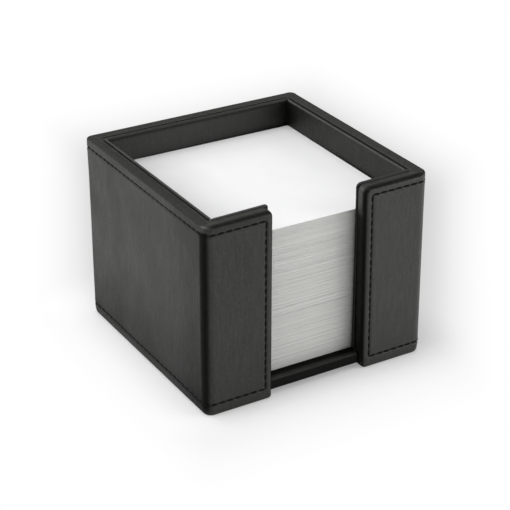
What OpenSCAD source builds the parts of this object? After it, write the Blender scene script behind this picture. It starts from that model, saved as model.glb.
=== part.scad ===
// Desk holder for loose note sheets: five leather-covered boards stand round a square
// stack, and a slot between the two front flaps lets a finger reach the sheets.
// X runs across the front, +Y is the back, +Z is up. The origin is the centre of the underside.

/* [Note sheets] */
// Width of a sheet
sheet_w = 90; // [60:1:150]
// Depth of a sheet
sheet_d = 90; // [60:1:150]
// Height of the stack
stack_h = 65.2; // [5:0.1:74]
// Room between the sheets and the lining, on each side
sheet_play = 0.75; // [0.5:0.05:3]
// Share of that room taken by the stack lying slightly turned
turned_share = 0.6; // [0:0.05:0.7]
// Share of that room taken by the stack lying slightly off centre
shifted_share = 0.22; // [0:0.02:0.25]

/* [Outline] */
// Height of the leather band above the table
band_h = 85; // [60:0.1:120]
// Width of the finger slot between the two flaps
slot_w = 43.4; // [25:0.1:60]
// Radius of the upright outer corners
corner_r = 4.2; // [3:0.1:5]
// Radius of the flaps' free corners, seen from the front
flap_corner_r = 2.8; // [2.6:0.1:5]

/* [Leather band] */
// Thickness of the leather with its backing
leather_t = 0.9; // [0.8:0.05:1.2]
// Radius of the rolled edge on the outer side
roll_r = 1.3; // [1.2:0.1:2.5]
// Thickness of the skived leather that is turned in behind the boards
turn_in_t = 0.65; // [0.4:0.05:0.9]
// Width of the turned-in leather
turn_in_w = 9; // [6:0.5:14]
// Distance of the upper stitch row from the top edge
top_row_inset = 3.6; // [3:0.1:6]
// Distance of the lower stitch row from the bottom edge
bottom_row_inset = 5.4; // [3:0.1:7]
// Distance of the upright stitch rows from the flaps' free ends
end_row_inset = 3.6; // [3:0.1:6]
// Width of the channel that a stitch row is pulled into
channel_w = 1; // [0.6:0.1:1.4]
// Depth of that channel
channel_depth = 0.3; // [0.1:0.05:0.4]

/* [Wall boards] */
// Thickness of the boards
board_t = 4.6; // [3.5:0.1:6]
// Glue line between boards and leather
glue_t = 0.05; // [0.02:0.01:0.1]

/* [Lining panels] */
// Thickness of the card inside a lining panel
card_t = 0.7; // [0.6:0.1:2.5]
// Thickness of the lining leather on the side of the sheets
lining_t = 0.55; // [0.4:0.05:0.9]
// Thickness of the lining leather behind the card
lining_turn_in_t = 0.4; // [0.3:0.05:0.6]
// Width of the lining leather behind the card
lining_turn_in_w = 10; // [6:0.5:16]
// How far the lining's rolled edge stands above the band
lip_rise = 0.4; // [0:0.1:1]
// How far the lining reaches past the band's ends into the slot
lip_reach = 0.5; // [0:0.1:1.5]
// Radius of the lining's rolled edge
lip_roll_r = 0.8; // [0.75:0.05:1.1]
// Radius of the front lining panels' free top corners
lip_corner_r = 2.2; // [1.5:0.1:4]

/* [Base] */
// Thickness of the floor board
floor_board_t = 4; // [2.5:0.1:6]
// Thickness of the leather round the floor board
floor_leather_t = 0.5; // [0.4:0.05:0.8]
// Radius of the floor's front edge
floor_edge_r = 1; // [0.9:0.05:1.5]
// Width of the floor leather turned in underneath
floor_turn_in_w = 12; // [8:0.5:20]
// How far the floor's tongue stays back from the face of the flaps
tongue_setback = 2.4; // [1:0.1:4]
// Gap between the tongue and each flap
tongue_play = 0.2; // [0.1:0.05:0.5]
// Thickness of the card under the floor
under_card_t = 1.6; // [1:0.1:2.5]
// Thickness of the felt on the underside
felt_t = 0.8; // [0.5:0.1:2]
// How far the felt and its card stay back from the walls, all round
felt_inset = 0.6; // [0.3:0.1:4]

/* [Hidden] */
$fn = 64;

leather_colour = "#3c3d3b";
lining_colour = "#2f302e";
floor_colour = "#1c1c1b";
board_colour = "#8f8064";
card_colour = "#a39a86";
felt_colour = "#161616";
paper_colour = "#eeeeea";

// The wall, from the outer face inwards
band_t = leather_t + glue_t + board_t;
panel_t = lining_turn_in_t + glue_t + card_t + lining_t;
wall_t = band_t + panel_t;

// Radius of the rim's inner edge, which starts inside the centre line of the upright corners
rim_r = max(min(turn_in_t, band_t - corner_r - glue_t), glue_t);

// Plan of the cavity, of the boards' inner faces and of the whole
cavity_w = sheet_w + 2 * sheet_play;
cavity_d = sheet_d + 2 * sheet_play;
outer_w = cavity_w + 2 * wall_t;
outer_d = cavity_d + 2 * wall_t;
inside_w = outer_w - 2 * band_t;
inside_d = outer_d - 2 * band_t;

// Levels above the table
floor_bottom = felt_t + under_card_t;
floor_h = 2 * floor_leather_t + floor_board_t;
floor_top = floor_bottom + floor_h;
lip_top = band_h + lip_rise;
panel_h = lip_top - floor_top;

// Where the flaps and their lining end, measured from the middle of the slot
flap_end = slot_w / 2;
lining_end = flap_end - lip_reach;

// How the stack lies in its room
stack_turn = -atan(2 * turned_share * sheet_play / max(sheet_w, sheet_d));
stack_shift = shifted_share * sheet_play;

// Cutters start this far outside what they cut, and united pieces reach this far into each other
beyond = 1;
bite = 0.1;

// Corner of a square that lies outside a circle of radius r
module corner_waste(r) {
    difference() {
        translate([-beyond, -beyond]) square(r + beyond);
        translate([r, r]) circle(r);
    }
}

// Section across an edge that leather is folded over: x runs inward from the edge, y from the
// face to the back. skin is the leather, depth the whole thickness and reach the width shown.
module folded_edge(depth, skin, face_r, back_r, reach) {
    inner_r = max(face_r - skin, bite);
    difference() {
        union() {
            square([reach, skin]);
            square([skin, depth]);
            translate([skin - bite, skin - bite]) difference() {
                square(inner_r + bite);
                translate([inner_r + bite, inner_r + bite]) circle(inner_r);
            }
        }
        corner_waste(face_r);
        translate([0, depth]) mirror([0, 1]) corner_waste(back_r);
    }
}

// The section laid along X, with the edge on top and the face towards -Y
module along_top(length) {
    rotate([0, 90, 0]) linear_extrude(length) children();
}

// The section turned round a free upper left corner of radius r, at the place of its centre
module round_corner(r) {
    rotate([-90, 180, 0]) rotate_extrude(angle = 90)
        intersection() {
            translate([r, 0]) mirror([1, 0]) children();
            square([r, band_t + panel_t]);
        }
}

// A sheet of leather folded over a free left edge, over the top and, with both, over the
// bottom. It stands in the XZ plane, its face towards -Y, and is cut off flush at width.
module folded_sheet(width, height, depth, skin, face_r, back_r, corner, both) {
    foot = both ? corner : 0;
    translate([corner - bite, 0, foot - bite * (both ? 1 : 0)])
        cube([width - corner + bite, skin, height - corner - foot + bite * (both ? 2 : 1)]);
    translate([corner, 0, height]) along_top(width - corner)
        folded_edge(depth, skin, face_r, back_r, corner);
    translate([0, 0, foot]) linear_extrude(height - corner - foot)
        folded_edge(depth, skin, face_r, back_r, corner);
    translate([corner, 0, height - corner]) round_corner(corner)
        folded_edge(depth, skin, face_r, back_r, corner);
    if (both) mirror([0, 0, 1]) {
        translate([corner, 0, 0]) along_top(width - corner)
            folded_edge(depth, skin, face_r, back_r, corner);
        translate([corner, 0, -corner]) round_corner(corner)
            folded_edge(depth, skin, face_r, back_r, corner);
    }
}

// Waste along an edge of radius edge_r, turned round a corner of radius r about the Z axis
module turned_waste(r, edge_r) {
    rotate_extrude(angle = 90) intersection() {
        translate([r, 0]) mirror([1, 0]) corner_waste(edge_r);
        translate([0, -beyond]) square([r + beyond, edge_r + beyond]);
    }
}

// Waste along the face edges of a stiff piece that a folded sheet goes round: along its top,
// down its free left end and, with both, along its bottom. corner rounds its free corners.
module eased_edges(width, height, corner, edge_r, both) {
    foot = both ? corner : -beyond;
    translate([0, 0, foot]) linear_extrude(height - corner - foot) corner_waste(edge_r);
    for (up = both ? [0, 1] : [1]) translate([0, 0, up * height]) mirror([0, 0, 1 - up]) {
        translate([corner, 0, 0]) along_top(width) corner_waste(edge_r);
        translate([corner, 0, -corner]) rotate([-90, 180, 0]) turned_waste(corner, edge_r);
    }
}

// Rectangle with its left corners rounded: the upper one, and with both the lower one too
module flap_outline(width, height, r, both) {
    translate([r, 0]) square([width - r, height]);
    translate([0, both ? r : 0]) square([r + bite, height - r - (both ? r : 0)]);
    translate([r, height - r]) circle(r);
    if (both) translate([r, r]) circle(r);
}

// A flat piece of thickness t in the XZ plane, from y = 0 backwards
module upright(t) {
    translate([0, t, 0]) rotate([90, 0, 0]) linear_extrude(t) children();
}

// Puts a piece that is drawn with its face on the XZ plane onto one side of the box
module on_front() { translate([0, -outer_d / 2, 0]) children(); }
module on_back() { rotate([0, 0, 180]) on_front() children(); }
module on_right() { rotate([0, 0, 90]) translate([0, -outer_w / 2, 0]) children(); }
module on_left() { rotate([0, 0, -90]) translate([0, -outer_w / 2, 0]) children(); }

// Heights of the two long stitch rows, and the radius that gives their channel its width
long_rows = [bottom_row_inset, band_h - top_row_inset];
channel_r = (channel_w * channel_w / 4 + channel_depth * channel_depth) / (2 * channel_depth);

// Upright section of the band, without its turned-in edges: x is the depth from the outer face,
// y the height
module band_section() {
    difference() {
        union() {
            square([leather_t, band_h]);
            for (up = [0, 1]) translate([0, up * band_h]) mirror([0, up])
                rotate(90) mirror([0, 1])
                    folded_edge(band_t, leather_t, roll_r, rim_r, roll_r + leather_t);
        }
        for (up = [0, 1]) translate([0, up * band_h]) mirror([0, up]) corner_waste(roll_r);
        for (z = long_rows) translate([channel_depth - channel_r, z]) circle(channel_r);
    }
}

// A straight stretch of the band, of the given length about x = 0, face towards -Y
module band_wall(length) {
    translate([-length / 2, 0, 0]) rotate([90, 0, 90]) linear_extrude(length) band_section();
    for (z = [leather_t - bite, band_h - turn_in_w])
        translate([-length / 2 - corner_r + band_t - turn_in_t, band_t - turn_in_t, z])
            cube([length + 2 * (corner_r - band_t + turn_in_t), turn_in_t,
                  turn_in_w - leather_t + bite]);
}

// The band round one upright corner, whose centre line is the Z axis
module band_corner() {
    rotate_extrude(angle = 90) intersection() {
        translate([corner_r, 0]) mirror([1, 0]) band_section();
        square([corner_r, band_h]);
    }
}

// One front flap of the band, to the right of the slot, up to the corner's centre line
module band_flap() {
    width = outer_w / 2 - corner_r - flap_end;
    translate([flap_end, 0, 0]) {
        folded_sheet(width, band_h, band_t, leather_t, roll_r, rim_r, flap_corner_r, true);
        translate([0, band_t - turn_in_t, 0]) upright(turn_in_t) difference() {
            translate([leather_t - bite, leather_t - bite])
                flap_outline(width + corner_r - band_t + turn_in_t - leather_t + bite,
                             band_h - 2 * (leather_t - bite),
                             flap_corner_r - leather_t + bite, true);
            translate([turn_in_w, turn_in_w]) square([outer_w, band_h - 2 * turn_in_w]);
        }
    }
}

// Cutter for the channels on a flap: along its top and bottom, and down beside its free end
module flap_channels() {
    start = flap_end + end_row_inset;
    translate([start, channel_depth - channel_r, 0]) {
        for (z = long_rows) translate([0, 0, z]) {
            rotate([0, 90, 0]) cylinder(r = channel_r, h = outer_w / 2 - start);
            sphere(channel_r);
        }
        translate([0, 0, long_rows[0]]) cylinder(r = channel_r, h = long_rows[1] - long_rows[0]);
    }
}

// Calls its children at the four upright corners, turned to face outwards
module at_corners() {
    for (k = [0 : 3]) {
        sx = (k == 0 || k == 3) ? 1 : -1;
        sy = k < 2 ? 1 : -1;
        translate([sx * (outer_w / 2 - corner_r), sy * (outer_d / 2 - corner_r), 0])
            rotate([0, 0, 90 * k]) children();
    }
}

// The stitched band: one strip of leather that runs from flap to flap round the back, folded
// over the boards at the top, the bottom and both ends, with its edges turned in behind them
module outer_band() {
    color(leather_colour) {
        on_left() band_wall(outer_d - 2 * corner_r);
        on_right() band_wall(outer_d - 2 * corner_r);
        on_back() band_wall(outer_w - 2 * corner_r);
        at_corners() band_corner();
        on_front() for (side = [0, 1]) mirror([side, 0, 0]) difference() {
            band_flap();
            flap_channels();
        }
    }
}

// Height and inner corner radius of the boards in the band
board_z = leather_t + glue_t;
board_h = band_h - 2 * board_z;
board_edge_r = roll_r - leather_t;
rebate_w = turn_in_w - board_z + glue_t;
rebate_t = turn_in_t + glue_t;

// Upright section of a wall board, from its outer face (x = 0) to its inner face: its outer
// edges are eased, and its inner side is rebated where the band's leather is turned in
module board_section() {
    difference() {
        square([board_t, board_h]);
        for (up = [0, 1]) translate([0, up * board_h]) mirror([0, up]) {
            corner_waste(board_edge_r + glue_t);
            translate([board_t - rebate_t, -beyond])
                square([rebate_t + beyond, rebate_w + beyond]);
        }
    }
}

// A wall board of the given length about x = 0
module board(length) {
    translate([-length / 2, leather_t + glue_t, board_z])
        rotate([90, 0, 90]) linear_extrude(length) board_section();
}

// A side board runs the whole depth. Its two upright outer edges are rounded to the corner, and
// the eased edges run on round them and across the board's ends.
module side_board() {
    length = outer_d - 2 * board_z;
    round_r = min(corner_r - board_z, board_t);
    difference() {
        board(length);
        for (end = [0, 1]) mirror([end, 0, 0]) translate([-length / 2, board_z, 0]) {
            translate([0, 0, -beyond]) linear_extrude(band_h + 2 * beyond) corner_waste(round_r);
            for (up = [0, 1]) translate([0, 0, up * band_h]) mirror([0, 0, up])
                translate([0, 0, board_z]) {
                    translate([round_r, round_r, 0]) rotate([0, 0, 180])
                        turned_waste(round_r, board_edge_r + glue_t);
                    translate([0, board_t + beyond, 0]) rotate([90, 0, 0])
                        linear_extrude(board_t + beyond - round_r)
                            corner_waste(board_edge_r + glue_t);
                }
        }
    }
}
module left_wall_board() { color(board_colour) on_left() side_board(); }
module right_wall_board() { color(board_colour) on_right() side_board(); }
module back_wall_board() { color(board_colour) on_back() board(inside_w - 2 * glue_t); }

// A flap board stands between a side board and the band's folded end
module flap_board() {
    start = flap_end + leather_t + glue_t;
    width = inside_w / 2 - glue_t - start;
    inner_corner_r = flap_corner_r - leather_t;
    translate([start, leather_t + glue_t, board_z]) difference() {
        upright(board_t) flap_outline(width, board_h, inner_corner_r, true);
        translate([0, board_t - rebate_t, 0]) upright(rebate_t + beyond) difference() {
            translate([-beyond, -beyond]) square([width + 2 * beyond, board_h + 2 * beyond]);
            translate([rebate_w, rebate_w]) square([width + beyond, board_h - 2 * rebate_w]);
        }
        eased_edges(width, board_h, inner_corner_r, board_edge_r + glue_t, true);
    }
}

module right_flap_board() { color(board_colour) on_front() flap_board(); }
module left_flap_board() { mirror([1, 0, 0]) right_flap_board(); }

// Lining panels are drawn with their face towards -Y at y = 0 and stand on the floor. The back
// one fills the width between the side boards, and the side ones stand between it and the
// front ones.
side_panel_l = cavity_d;
back_panel_l = inside_w;
flap_panel_l = inside_w / 2 - lining_end;
card_edge_r = lip_roll_r - lining_t + glue_t;

// Upright section of a straight panel's leather: over its face and top, then down behind it
module lining_section() {
    translate([0, panel_h]) mirror([0, 1]) rotate(90) mirror([0, 1])
        folded_edge(panel_t, lining_t, lip_roll_r, lining_turn_in_t, lip_roll_r + lining_t);
    square([lining_t, panel_h - lip_roll_r]);
    translate([panel_t - lining_turn_in_t, panel_h - lining_turn_in_w])
        square([lining_turn_in_t, lining_turn_in_w - lining_t + bite]);
}

// The leather of a straight panel
module straight_lining(length) {
    translate([-length / 2, 0, floor_top])
        rotate([90, 0, 90]) linear_extrude(length) lining_section();
}

// The card of a straight panel, its upper edge eased under the leather's roll
module straight_card(length) {
    height = panel_h - lining_t - glue_t;
    translate([-length / 2, lining_t, floor_top]) difference() {
        cube([length, card_t, height]);
        translate([-beyond, 0, height]) along_top(length + 2 * beyond)
            corner_waste(card_edge_r);
    }
}

// The leather of a front panel, which is folded over its free end too
module flap_lining() {
    translate([0, 0, floor_top]) {
        folded_sheet(flap_panel_l, panel_h, panel_t, lining_t, lip_roll_r, lining_turn_in_t,
                     lip_corner_r, false);
        translate([0, panel_t - lining_turn_in_t, 0]) upright(lining_turn_in_t) difference() {
            translate([lining_t - bite, 0])
                flap_outline(flap_panel_l - lining_t + bite, panel_h - lining_t + bite,
                             lip_corner_r - lining_t + bite, false);
            translate([lining_turn_in_w, -beyond])
                square([outer_w, panel_h - lining_turn_in_w + beyond]);
        }
    }
}

// The card of a front panel
module flap_card() {
    start = lining_t + glue_t;
    width = flap_panel_l - start;
    height = panel_h - start;
    corner = lip_corner_r - lining_t;
    translate([start, lining_t, floor_top]) difference() {
        upright(card_t) flap_outline(width, height, corner, false);
        eased_edges(width, height, corner, card_edge_r, false);
    }
}

// Puts a panel's face on one side of the cavity
module against_left() { rotate([0, 0, 90]) translate([0, cavity_w / 2, 0]) children(); }
module against_right() { rotate([0, 0, -90]) translate([0, cavity_w / 2, 0]) children(); }
module against_back() { translate([0, cavity_d / 2, 0]) children(); }
module against_front() {
    rotate([0, 0, 180]) translate([lining_end, cavity_d / 2, 0]) children();
}

module left_lining() { color(lining_colour) against_left() straight_lining(side_panel_l); }
module right_lining() { color(lining_colour) against_right() straight_lining(side_panel_l); }
module back_lining() { color(lining_colour) against_back() straight_lining(back_panel_l); }
module left_flap_lining() { color(lining_colour) against_front() flap_lining(); }
module right_flap_lining() { mirror([1, 0, 0]) left_flap_lining(); }
module left_lining_card() { color(card_colour) against_left() straight_card(side_panel_l); }
module right_lining_card() { color(card_colour) against_right() straight_card(side_panel_l); }
module back_lining_card() { color(card_colour) against_back() straight_card(back_panel_l); }
module left_flap_lining_card() { color(card_colour) against_front() flap_card(); }
module right_flap_lining_card() { mirror([1, 0, 0]) left_flap_lining_card(); }

// The floor fills the plan between the wall boards, and its tongue fills the slot
tongue_w = slot_w - 2 * tongue_play;
tongue_front = -outer_d / 2 + tongue_setback;
floor_w = inside_w - 2 * glue_t;
floor_d = inside_d - 2 * glue_t;

// Plan of the floor, with the tongue reaching forward to y = front
module floor_plan(front) {
    square([floor_w, floor_d], center = true);
    translate([-tongue_w / 2, front]) square([tongue_w, -front]);
}

// The board in the floor
module floor_board() {
    front_r = floor_edge_r - floor_leather_t + glue_t;
    front = tongue_front + floor_leather_t + glue_t;
    color(board_colour) difference() {
        translate([0, 0, floor_bottom + floor_leather_t]) linear_extrude(floor_board_t)
            floor_plan(front);
        translate([-tongue_w, front, floor_top - floor_leather_t])
            rotate([90, 0, 90]) linear_extrude(2 * tongue_w)
                mirror([0, 1]) corner_waste(front_r);
    }
}

// The leather on the floor: over its top, round the front of the tongue and turned in below
module floor_leather() {
    color(floor_colour) {
        translate([0, 0, floor_top - floor_leather_t]) linear_extrude(floor_leather_t)
            floor_plan(tongue_front + floor_edge_r + floor_leather_t - bite);
        translate([-tongue_w / 2, tongue_front, floor_top])
            rotate([90, 0, 90]) linear_extrude(tongue_w) mirror([0, 1])
                folded_edge(floor_h, floor_leather_t, floor_edge_r, floor_leather_t,
                            floor_edge_r + floor_leather_t);
        translate([-tongue_w / 2, tongue_front + floor_leather_t - bite, floor_bottom])
            cube([tongue_w, floor_turn_in_w - floor_leather_t + bite, floor_leather_t]);
    }
}

// The card and the felt that close the underside
module under_sheet(t) {
    linear_extrude(t) square([inside_w - 2 * felt_inset, inside_d - 2 * felt_inset], center = true);
}
module under_card() { color(card_colour) translate([0, 0, felt_t]) under_sheet(under_card_t); }
module base_felt() { color(felt_colour) under_sheet(felt_t); }

// The stack of loose sheets, lying slightly askew as it was dropped in
module note_stack() {
    color(paper_colour) translate([-stack_shift, stack_shift, floor_top]) rotate([0, 0, stack_turn])
        translate([-sheet_w / 2, -sheet_d / 2, 0]) cube([sheet_w, sheet_d, stack_h]);
}

outer_band();
left_wall_board();
right_wall_board();
back_wall_board();
left_flap_board();
right_flap_board();
left_lining_card();
right_lining_card();
back_lining_card();
left_flap_lining_card();
right_flap_lining_card();
left_lining();
right_lining();
back_lining();
left_flap_lining();
right_flap_lining();
floor_board();
floor_leather();
under_card();
base_felt();
note_stack();
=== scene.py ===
import math

import bmesh
import bpy
import numpy as np
from mathutils import Matrix, Vector


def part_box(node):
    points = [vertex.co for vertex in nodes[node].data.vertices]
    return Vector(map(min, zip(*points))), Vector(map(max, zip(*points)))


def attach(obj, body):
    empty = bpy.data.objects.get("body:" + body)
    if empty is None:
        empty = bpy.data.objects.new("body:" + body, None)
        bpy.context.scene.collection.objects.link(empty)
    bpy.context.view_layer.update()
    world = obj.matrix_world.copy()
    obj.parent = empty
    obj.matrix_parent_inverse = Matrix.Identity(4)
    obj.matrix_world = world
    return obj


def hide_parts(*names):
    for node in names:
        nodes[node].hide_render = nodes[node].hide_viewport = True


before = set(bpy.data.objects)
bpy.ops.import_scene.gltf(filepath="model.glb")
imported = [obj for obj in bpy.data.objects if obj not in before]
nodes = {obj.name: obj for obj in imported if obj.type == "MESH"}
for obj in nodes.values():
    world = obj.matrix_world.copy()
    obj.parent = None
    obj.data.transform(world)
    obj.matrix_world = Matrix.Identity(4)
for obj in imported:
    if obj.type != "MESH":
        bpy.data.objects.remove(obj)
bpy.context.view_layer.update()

MM = 0.001

# Sizes in millimetres, as in the part's source
HALF = 53.0
BAND_H = 85.0
CORNER_R = 4.2
FLAP_END = 21.7
FLAP_CORNER_R = 2.8
LEATHER_T = 0.9
ROLL_R = 1.3
BAND_T = 5.55
RIM_R = 0.6
TURN_IN_T = 0.65
TURN_IN_W = 9.0
LOW_ROW = 5.4
TOP_ROW = BAND_H - 3.6
END_ROW = 3.6
GROOVE_W = 0.5
GROOVE_DEPTH = 0.42
STITCH = 3.7
PANEL_T = 1.7
PANEL_H = 78.0
INSIDE = 47.45
CAVITY = 45.75
FLOOR_TOP = 7.4
LINING_END = 21.2
FLAP_W = INSIDE - LINING_END

WHITE = (1, 1, 1, 1)
# Leather colours for painted light: a painted highlight, and painted shade on corners, edges, gaps and
# grooves
PAINTED_HIGHLIGHT = (0.085, 0.086, 0.078, 1)
PAINTED_SHADE = (0.003, 0.003, 0.0026, 1)


# Materials
class Nodes:
    """Short hands for building a tree of shader nodes."""

    def __init__(self, tree):
        self.tree = tree
        self.coords = self.new("ShaderNodeTexCoord").outputs

    def fill(self, node, inputs):
        """Links or sets a node's inputs, given by name or number."""
        for key, value in inputs.items():
            if isinstance(value, bpy.types.NodeSocket):
                self.tree.links.new(value, node.inputs[key])
            else:
                node.inputs[key].default_value = value
        return node

    def new(self, kind, inputs=None, **settings):
        node = self.tree.nodes.new(kind)
        for key, value in settings.items():
            setattr(node, key, value)
        return self.fill(node, inputs or {})

    def scaled(self, x, y, z):
        """The object's coordinates in metres, times a number on each axis."""
        inputs = {"Scale": (x, y, z), "Vector": self.coords["Object"]}
        return self.new("ShaderNodeMapping", inputs).outputs["Vector"]

    def noise(self, vector, detail, rough, distort=0.0):
        inputs = {"Vector": vector, "Scale": 1.0, "Detail": detail, "Roughness": rough,
                  "Distortion": distort}
        return self.new("ShaderNodeTexNoise", inputs).outputs["Fac"]

    def cells(self, vector):
        """Distance to the edge of the cell that a place is in."""
        inputs = {"Scale": 1.0, "Vector": vector}
        return self.new("ShaderNodeTexVoronoi", inputs, feature="DISTANCE_TO_EDGE").outputs["Distance"]

    def ramp(self, value, low, high, a=0.0, b=1.0, curve="LINEAR"):
        """Low where the value is a, high where it is b."""
        inputs = {"Value": value, "From Min": a, "From Max": b, "To Min": low, "To Max": high}
        return self.new("ShaderNodeMapRange", inputs, interpolation_type=curve).outputs["Result"]

    def attribute(self, name):
        return self.new("ShaderNodeAttribute", attribute_name=name).outputs["Fac"]

    def math(self, op, *values):
        return self.new("ShaderNodeMath", dict(enumerate(values)), operation=op).outputs[0]

    def vector(self, op, inputs, out="Vector"):
        return self.new("ShaderNodeVectorMath", inputs, operation=op).outputs[out]

    def sum(self, *parts):
        """Sum of values times their weights."""
        total = None
        for value, weight in parts:
            part = self.math("MULTIPLY", value, weight)
            total = part if total is None else self.math("ADD", total, part)
        return total

    def mix(self, factor, a, b):
        inputs = {"Factor": factor, "A": a, "B": b}
        return self.new("ShaderNodeMix", inputs, data_type="RGBA").outputs["Result"]

    def colours(self, value, stops):
        ramp = self.new("ShaderNodeValToRGB", {"Fac": value})
        while len(ramp.color_ramp.elements) < len(stops):
            ramp.color_ramp.elements.new(0.5)
        for e, (place, colour) in zip(ramp.color_ramp.elements, stops):
            e.position = place
            e.color = (*colour, 1)
        return ramp.outputs["Color"]

    def bump(self, height, distance, strength=1.0, below=None):
        inputs = {"Distance": distance, "Strength": strength, "Height": height}
        if below is not None:
            inputs["Normal"] = below
        return self.new("ShaderNodeBump", inputs).outputs["Normal"]


class Material(Nodes):
    """A material and its node tree."""

    def __init__(self, name):
        self.mat = bpy.data.materials.new(name)
        self.mat.use_nodes = True
        super().__init__(self.mat.node_tree)
        self.shader = self.tree.nodes["Principled BSDF"]

    def finish(self, colour, rough, normal, level=0.5):
        self.fill(self.shader, {"Base Color": colour, "Roughness": rough, "Normal": normal,
                                "Specular IOR Level": level})
        return self.mat


def leather(name, dark, light, rough=(0.38, 0.5), grain=0.0006, level=0.5):
    """Smooth finished leather: fine pebble grain, pores, faint upright streaks and cloudy wear.
    Two attributes of the mesh carry painted light: one is painted shade in the stitch grooves, the
    other is painted shade that darkens and dulls it and, below zero, a painted highlight."""
    n = Material(name)
    streaks = n.noise(n.scaled(700, 700, 110), 4, 0.65)
    clouds = n.noise(n.scaled(55, 55, 40), 4, 0.6)
    fine = n.noise(n.scaled(1150, 1150, 900), 4, 0.7)
    mixed = n.sum((streaks, 0.3), (clouds, 0.25), (fine, 0.45))
    colour = n.colours(mixed, [(0.40, dark), (0.60, light)])
    pebbles = n.cells(n.scaled(1 / grain, 1 / grain, 1 / grain))
    pores = n.noise(n.scaled(5200, 5200, 5200), 2, 0.5)
    lumps = n.noise(n.scaled(800, 800, 560), 3, 0.6)
    folds = n.noise(n.scaled(300, 300, 110), 4, 0.55)
    normal = n.bump(folds, 0.00022, 0.7)
    normal = n.bump(lumps, 0.00016, 0.9, normal)
    normal = n.bump(n.ramp(pebbles, 0, 1, 0, 0.35), 0.00005, 1.0, normal)
    normal = n.bump(pores, 0.000016, 0.8, normal)
    roughness = n.ramp(n.math("ADD", clouds, fine), rough[0] - 0.03, rough[1] + 0.03, 0.8, 1.2)
    # Painted light from the mesh: painted shade darkens and dulls, a painted highlight lightens
    painted_light_and_shade = n.attribute("painted_light_and_shade")
    painted_dark = n.math("MINIMUM", n.math("MAXIMUM", n.attribute("painted_groove_shade"), painted_light_and_shade), 1.0)
    colour = n.mix(n.ramp(painted_light_and_shade, 0, 1, 0, -1), colour, PAINTED_HIGHLIGHT)
    colour = n.mix(painted_dark, colour, PAINTED_SHADE)
    return n.finish(colour, roughness, normal, n.ramp(painted_dark, level, level * 0.06))


def thread_material():
    n = Material("thread")
    inputs = {"Scale": 900, "Distortion": 1.5, "Vector": n.coords["Object"]}
    twist = n.new("ShaderNodeTexWave", inputs, wave_type="BANDS", bands_direction="DIAGONAL")
    fuzz = n.noise(n.scaled(6000, 6000, 6000), 2, 0.6)
    colour = n.colours(fuzz, [(0.3, (0.002, 0.002, 0.002)), (0.7, (0.007, 0.007, 0.007))])
    return n.finish(colour, n.ramp(fuzz, 0.55, 0.75), n.bump(twist.outputs["Fac"], 0.00006, 0.9), 0.15)


def paper_material():
    """White bond paper. The cut sides show the sheets as fine lines, some of them darker. Painted
    shade darkens the sides towards the right flap and the top towards the left wall."""
    n = Material("paper")
    lines = n.noise(n.scaled(14, 14, 3000), 3, 0.65, 0.12)
    coarse = n.noise(n.scaled(9, 9, 700), 3, 0.65, 0.08)
    clouds = n.noise(n.scaled(60, 60, 60), 3, 0.5)
    fibre = n.noise(n.scaled(3800, 3800, 900), 2, 0.5)
    both = n.sum((lines, 0.55), (coarse, 0.45))
    sides = n.colours(both, [(0.32, (0.61, 0.61, 0.585)), (0.44, (0.745, 0.745, 0.715)),
                             (0.62, (0.80, 0.80, 0.77))])
    top = n.colours(clouds, [(0.3, (0.865, 0.865, 0.87)), (0.7, (0.89, 0.89, 0.89))])
    facing = n.new("ShaderNodeNewGeometry").outputs["True Normal"]
    up = n.new("ShaderNodeSeparateXYZ", {0: facing}).outputs["Z"]
    across = n.new("ShaderNodeSeparateXYZ", {0: n.coords["Object"]}).outputs["X"]

    def shaded(colour, level, dark_x, full_x):
        """Painted shade: the colour times a level at dark_x, as it is at full_x, in metres from the middle.
        """
        return n.vector("SCALE", {0: colour, "Scale": n.ramp(across, level, 1, dark_x, full_x)})

    # The sides and the top, each with painted shade towards one end
    colour = n.mix(n.ramp(up, 0, 1, 0.5, 0.9), shaded(sides, 0.62, 0.022, 0.0175),
                   shaded(top, 0.8, -0.046, -0.01))
    normal = n.bump(fibre, 0.000006, 0.5, n.bump(both, 0.00008, 0.5))
    return n.finish(colour, n.ramp(clouds, 0.72, 0.82), normal, 0.25)


def felt_material():
    n = Material("felt")
    fibres = n.noise(n.scaled(2400, 2400, 2400), 5, 0.7, 1.2)
    clumps = n.noise(n.scaled(260, 260, 260), 3, 0.6)
    both = n.sum((fibres, 0.6), (clumps, 0.4))
    colour = n.colours(both, [(0.35, (0.004, 0.004, 0.004)), (0.68, (0.016, 0.016, 0.015))])
    n.fill(n.shader, {"Sheen Weight": 0.35, "Sheen Roughness": 0.5})
    return n.finish(colour, n.ramp(fibres, 0.86, 0.98), n.bump(both, 0.0003, 0.8))


def board_material(name, dark, light):
    n = Material(name)
    pulp = n.noise(n.scaled(700, 700, 700), 5, 0.65)
    specks = n.noise(n.scaled(2600, 2600, 2600), 2, 0.6)
    plies = n.noise(n.scaled(120, 120, 1500), 2, 0.5)
    colour = n.colours(n.sum((pulp, 0.6), (specks, 0.4)), [(0.32, dark), (0.68, light)])
    normal = n.bump(n.math("ADD", pulp, plies), 0.00005, 0.6)
    return n.finish(colour, n.ramp(pulp, 0.8, 0.92), normal)


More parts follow.
